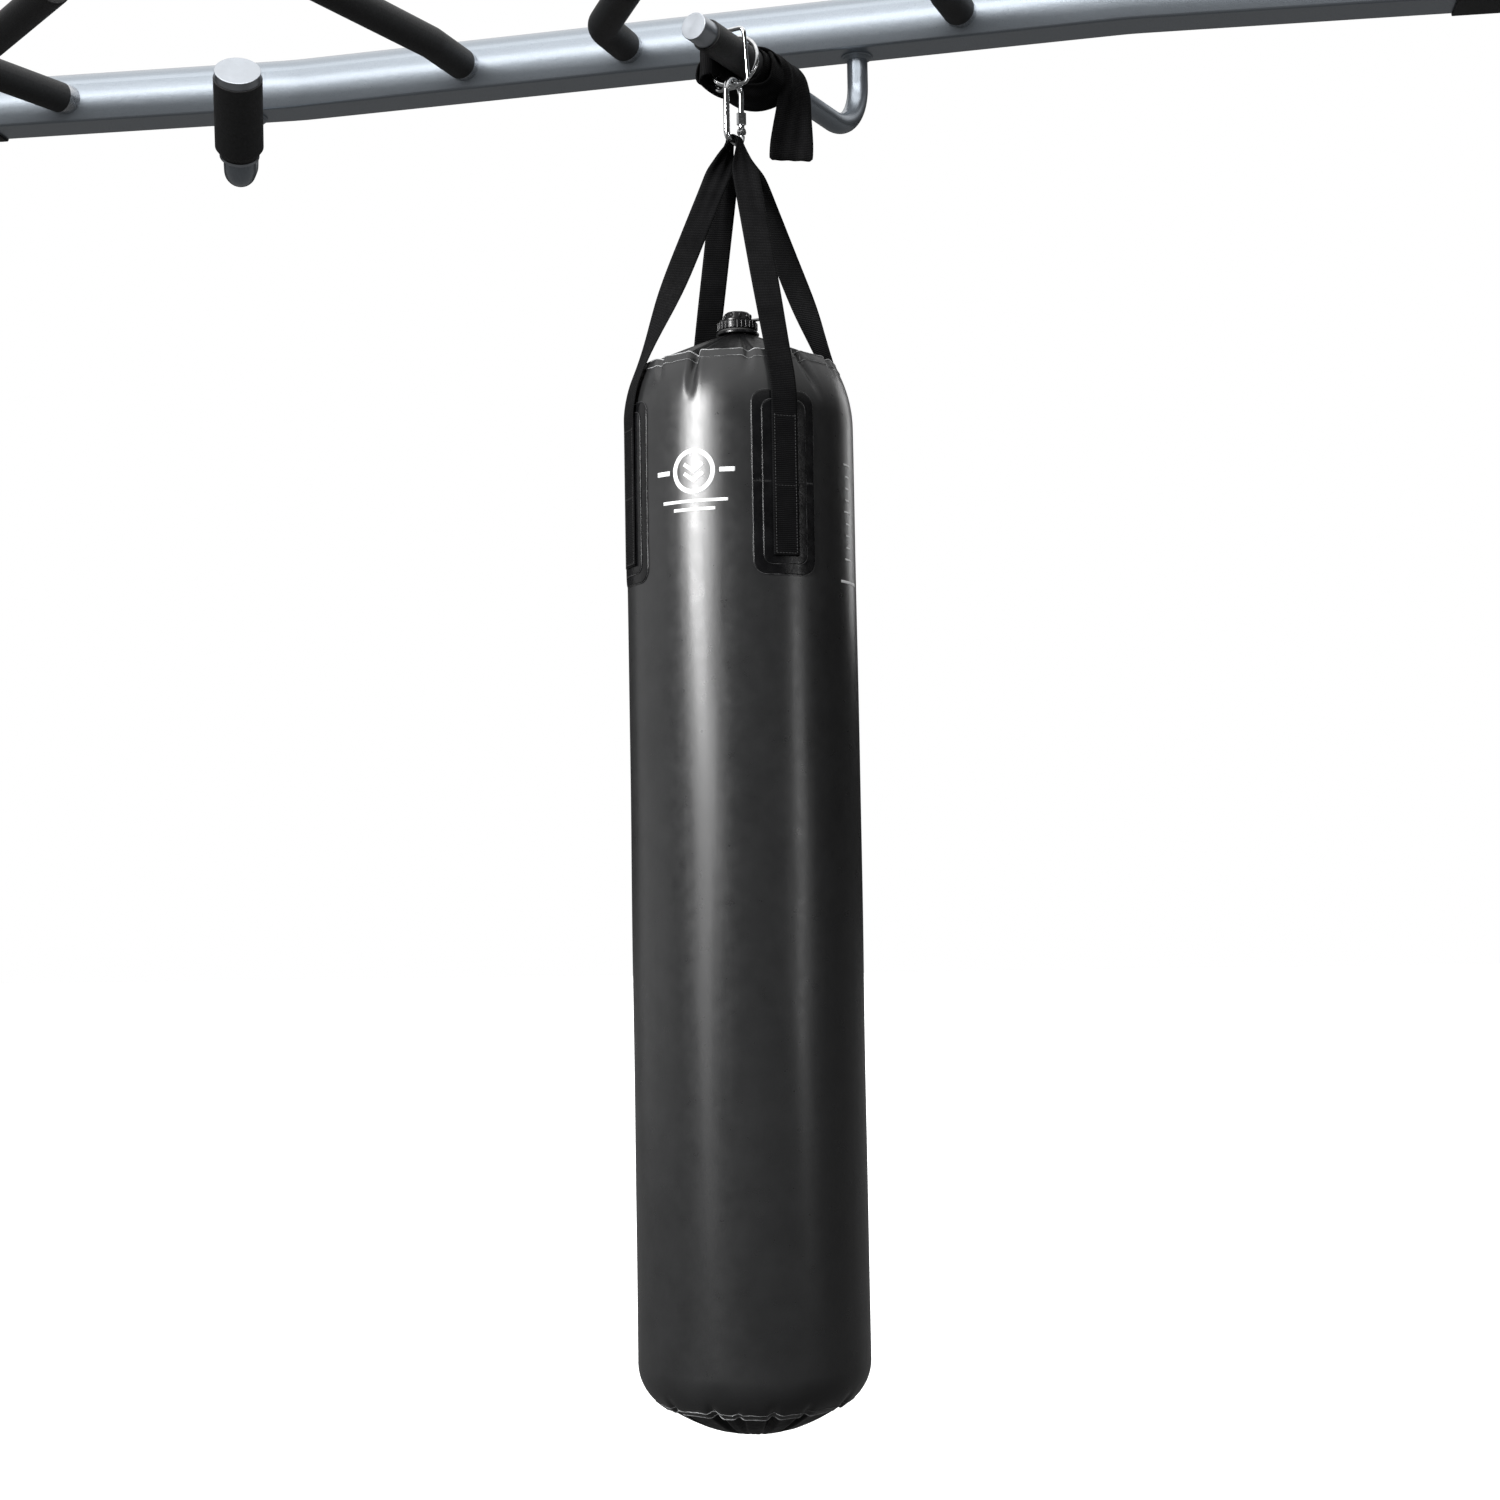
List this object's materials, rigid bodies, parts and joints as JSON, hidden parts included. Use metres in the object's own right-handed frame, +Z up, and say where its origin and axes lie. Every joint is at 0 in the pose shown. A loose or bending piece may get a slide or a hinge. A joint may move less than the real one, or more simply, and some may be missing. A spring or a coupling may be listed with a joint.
{
  "type": "hanging punching bag on overhead rig beam",
  "caption": "Hanging water-filled punching bag with webbing slings and valve, clipped to a bent handle under an overhead training-rig beam with rungs and a stub grip.",
  "frame": {"origin": "centre of the left end flange's outer face, on the beam's centreline", "axes": "+X along the beam from the left flange to the right flange, +Y away from the user's side, +Z up"},
  "size_m": [2.02, 0.5335, 1.7015],
  "materials": {
    "rig_paint": "silver-blue metallic powder coat",
    "weld_steel": "bare weld metal",
    "grip_rubber": "matte moulded rubber",
    "cap_aluminium": "turned and anodised",
    "black_screw": "black oxide",
    "chrome_steel": "bright nickel-chrome plate",
    "webbing": "ribbed woven polyester",
    "patch_vinyl": "glossy heat-welded vinyl",
    "bag_vinyl": "satin vinyl-coated tarpaulin",
    "water": "water",
    "seal_rubber": "matte",
    "valve_plastic": "glossy moulded plastic"
  },
  "bodies": {
    "rig": {"j_handle_end_cap": "cap_aluminium", "j_handle_flange": "rig_paint", "j_handle_grip": "grip_rubber", "j_handle_tube": "rig_paint", "left_end_socket": "rig_paint", "left_flange_plate": "rig_paint", "overhead_beam": "rig_paint", "right_end_socket": "rig_paint", "right_flange_plate": "rig_paint", "rung_a_sleeve": "grip_rubber", "rung_a_tube": "rig_paint", "rung_b_sleeve": "grip_rubber", "rung_b_tube": "rig_paint", "rung_c_sleeve": "grip_rubber", "rung_c_tube": "rig_paint", "rung_d_sleeve": "grip_rubber", "rung_d_tube": "rig_paint", "rung_end_plugs": "grip_rubber", "rung_weld_rings": "weld_steel", "socket_screws": "black_screw", "stub_handle_collar": "cap_aluminium", "stub_handle_end_cap": "cap_aluminium", "stub_handle_flange": "rig_paint", "stub_handle_grip": "grip_rubber", "stub_handle_tube": "rig_paint"},
    "hanger_rings": {"ring_front": "chrome_steel", "ring_rear": "chrome_steel", "anchor_strap": "webbing"},
    "carabiner": {"carabiner_body": "chrome_steel", "carabiner_gate_pin": "chrome_steel"},
    "carabiner_gate": {"carabiner_gate": "chrome_steel", "carabiner_gate_spring": "chrome_steel"},
    "carabiner_lock": {"carabiner_lock_sleeve": "chrome_steel"},
    "bag": {"bag_bottom_panel": "bag_vinyl", "bag_side_wall": "bag_vinyl", "bag_top_panel": "bag_vinyl", "patch_backing_front_left": "patch_vinyl", "patch_backing_front_right": "patch_vinyl", "patch_backing_rear_left": "patch_vinyl", "patch_backing_rear_right": "patch_vinyl", "patch_front_left": "patch_vinyl", "patch_front_right": "patch_vinyl", "patch_rear_left": "patch_vinyl", "patch_rear_right": "patch_vinyl", "sling_inner": "webbing", "sling_outer": "webbing", "water_fill": "water", "valve_base": "valve_plastic", "valve_seal_ring": "seal_rubber", "valve_cap_tether": "valve_plastic"},
    "valve_collar": {"valve_collar": "valve_plastic"},
    "valve_cap": {"valve_cap": "valve_plastic"}
  },
  "joints": [
    {"name": "ring_swing", "type": "hinge", "parent": "rig", "child": "hanger_rings", "pos_m": [1.114, -0.342, -0.1115], "axis": [-0.4051, -0.9099, 0.0889], "range_deg": [-25, 25]},
    {"name": "carabiner_swing", "type": "hinge", "parent": "hanger_rings", "child": "carabiner", "pos_m": [1.114, -0.342, -0.1575], "axis": [-0.9136, 0.4067, 0], "range_deg": [-25, 40]},
    {"name": "bag_tilt", "type": "hinge", "parent": "carabiner", "child": "bag", "pos_m": [1.114, -0.342, -0.2135], "axis": [0.4067, 0.9136, 0], "range_deg": [-30, 30]},
    {"name": "gate_open", "type": "hinge", "parent": "carabiner", "child": "carabiner_gate", "pos_m": [1.1203, -0.32784, -0.198], "axis": [0.9136, -0.4067, 0], "range_deg": [0, 25]},
    {"name": "lock_slide", "type": "slide", "parent": "carabiner_gate", "child": "carabiner_lock", "axis": [0, 0, 1], "range_m": [0, 0.008]},
    {"name": "collar_turn", "type": "hinge", "parent": "bag", "child": "valve_collar", "pos_m": [1.114, -0.342, -0.4239], "axis": [0, 0, 1], "continuous": true},
    {"name": "cap_turn", "type": "hinge", "parent": "bag", "child": "valve_cap", "pos_m": [1.114, -0.342, -0.4179], "axis": [0, 0, 1], "continuous": true}
  ]
}
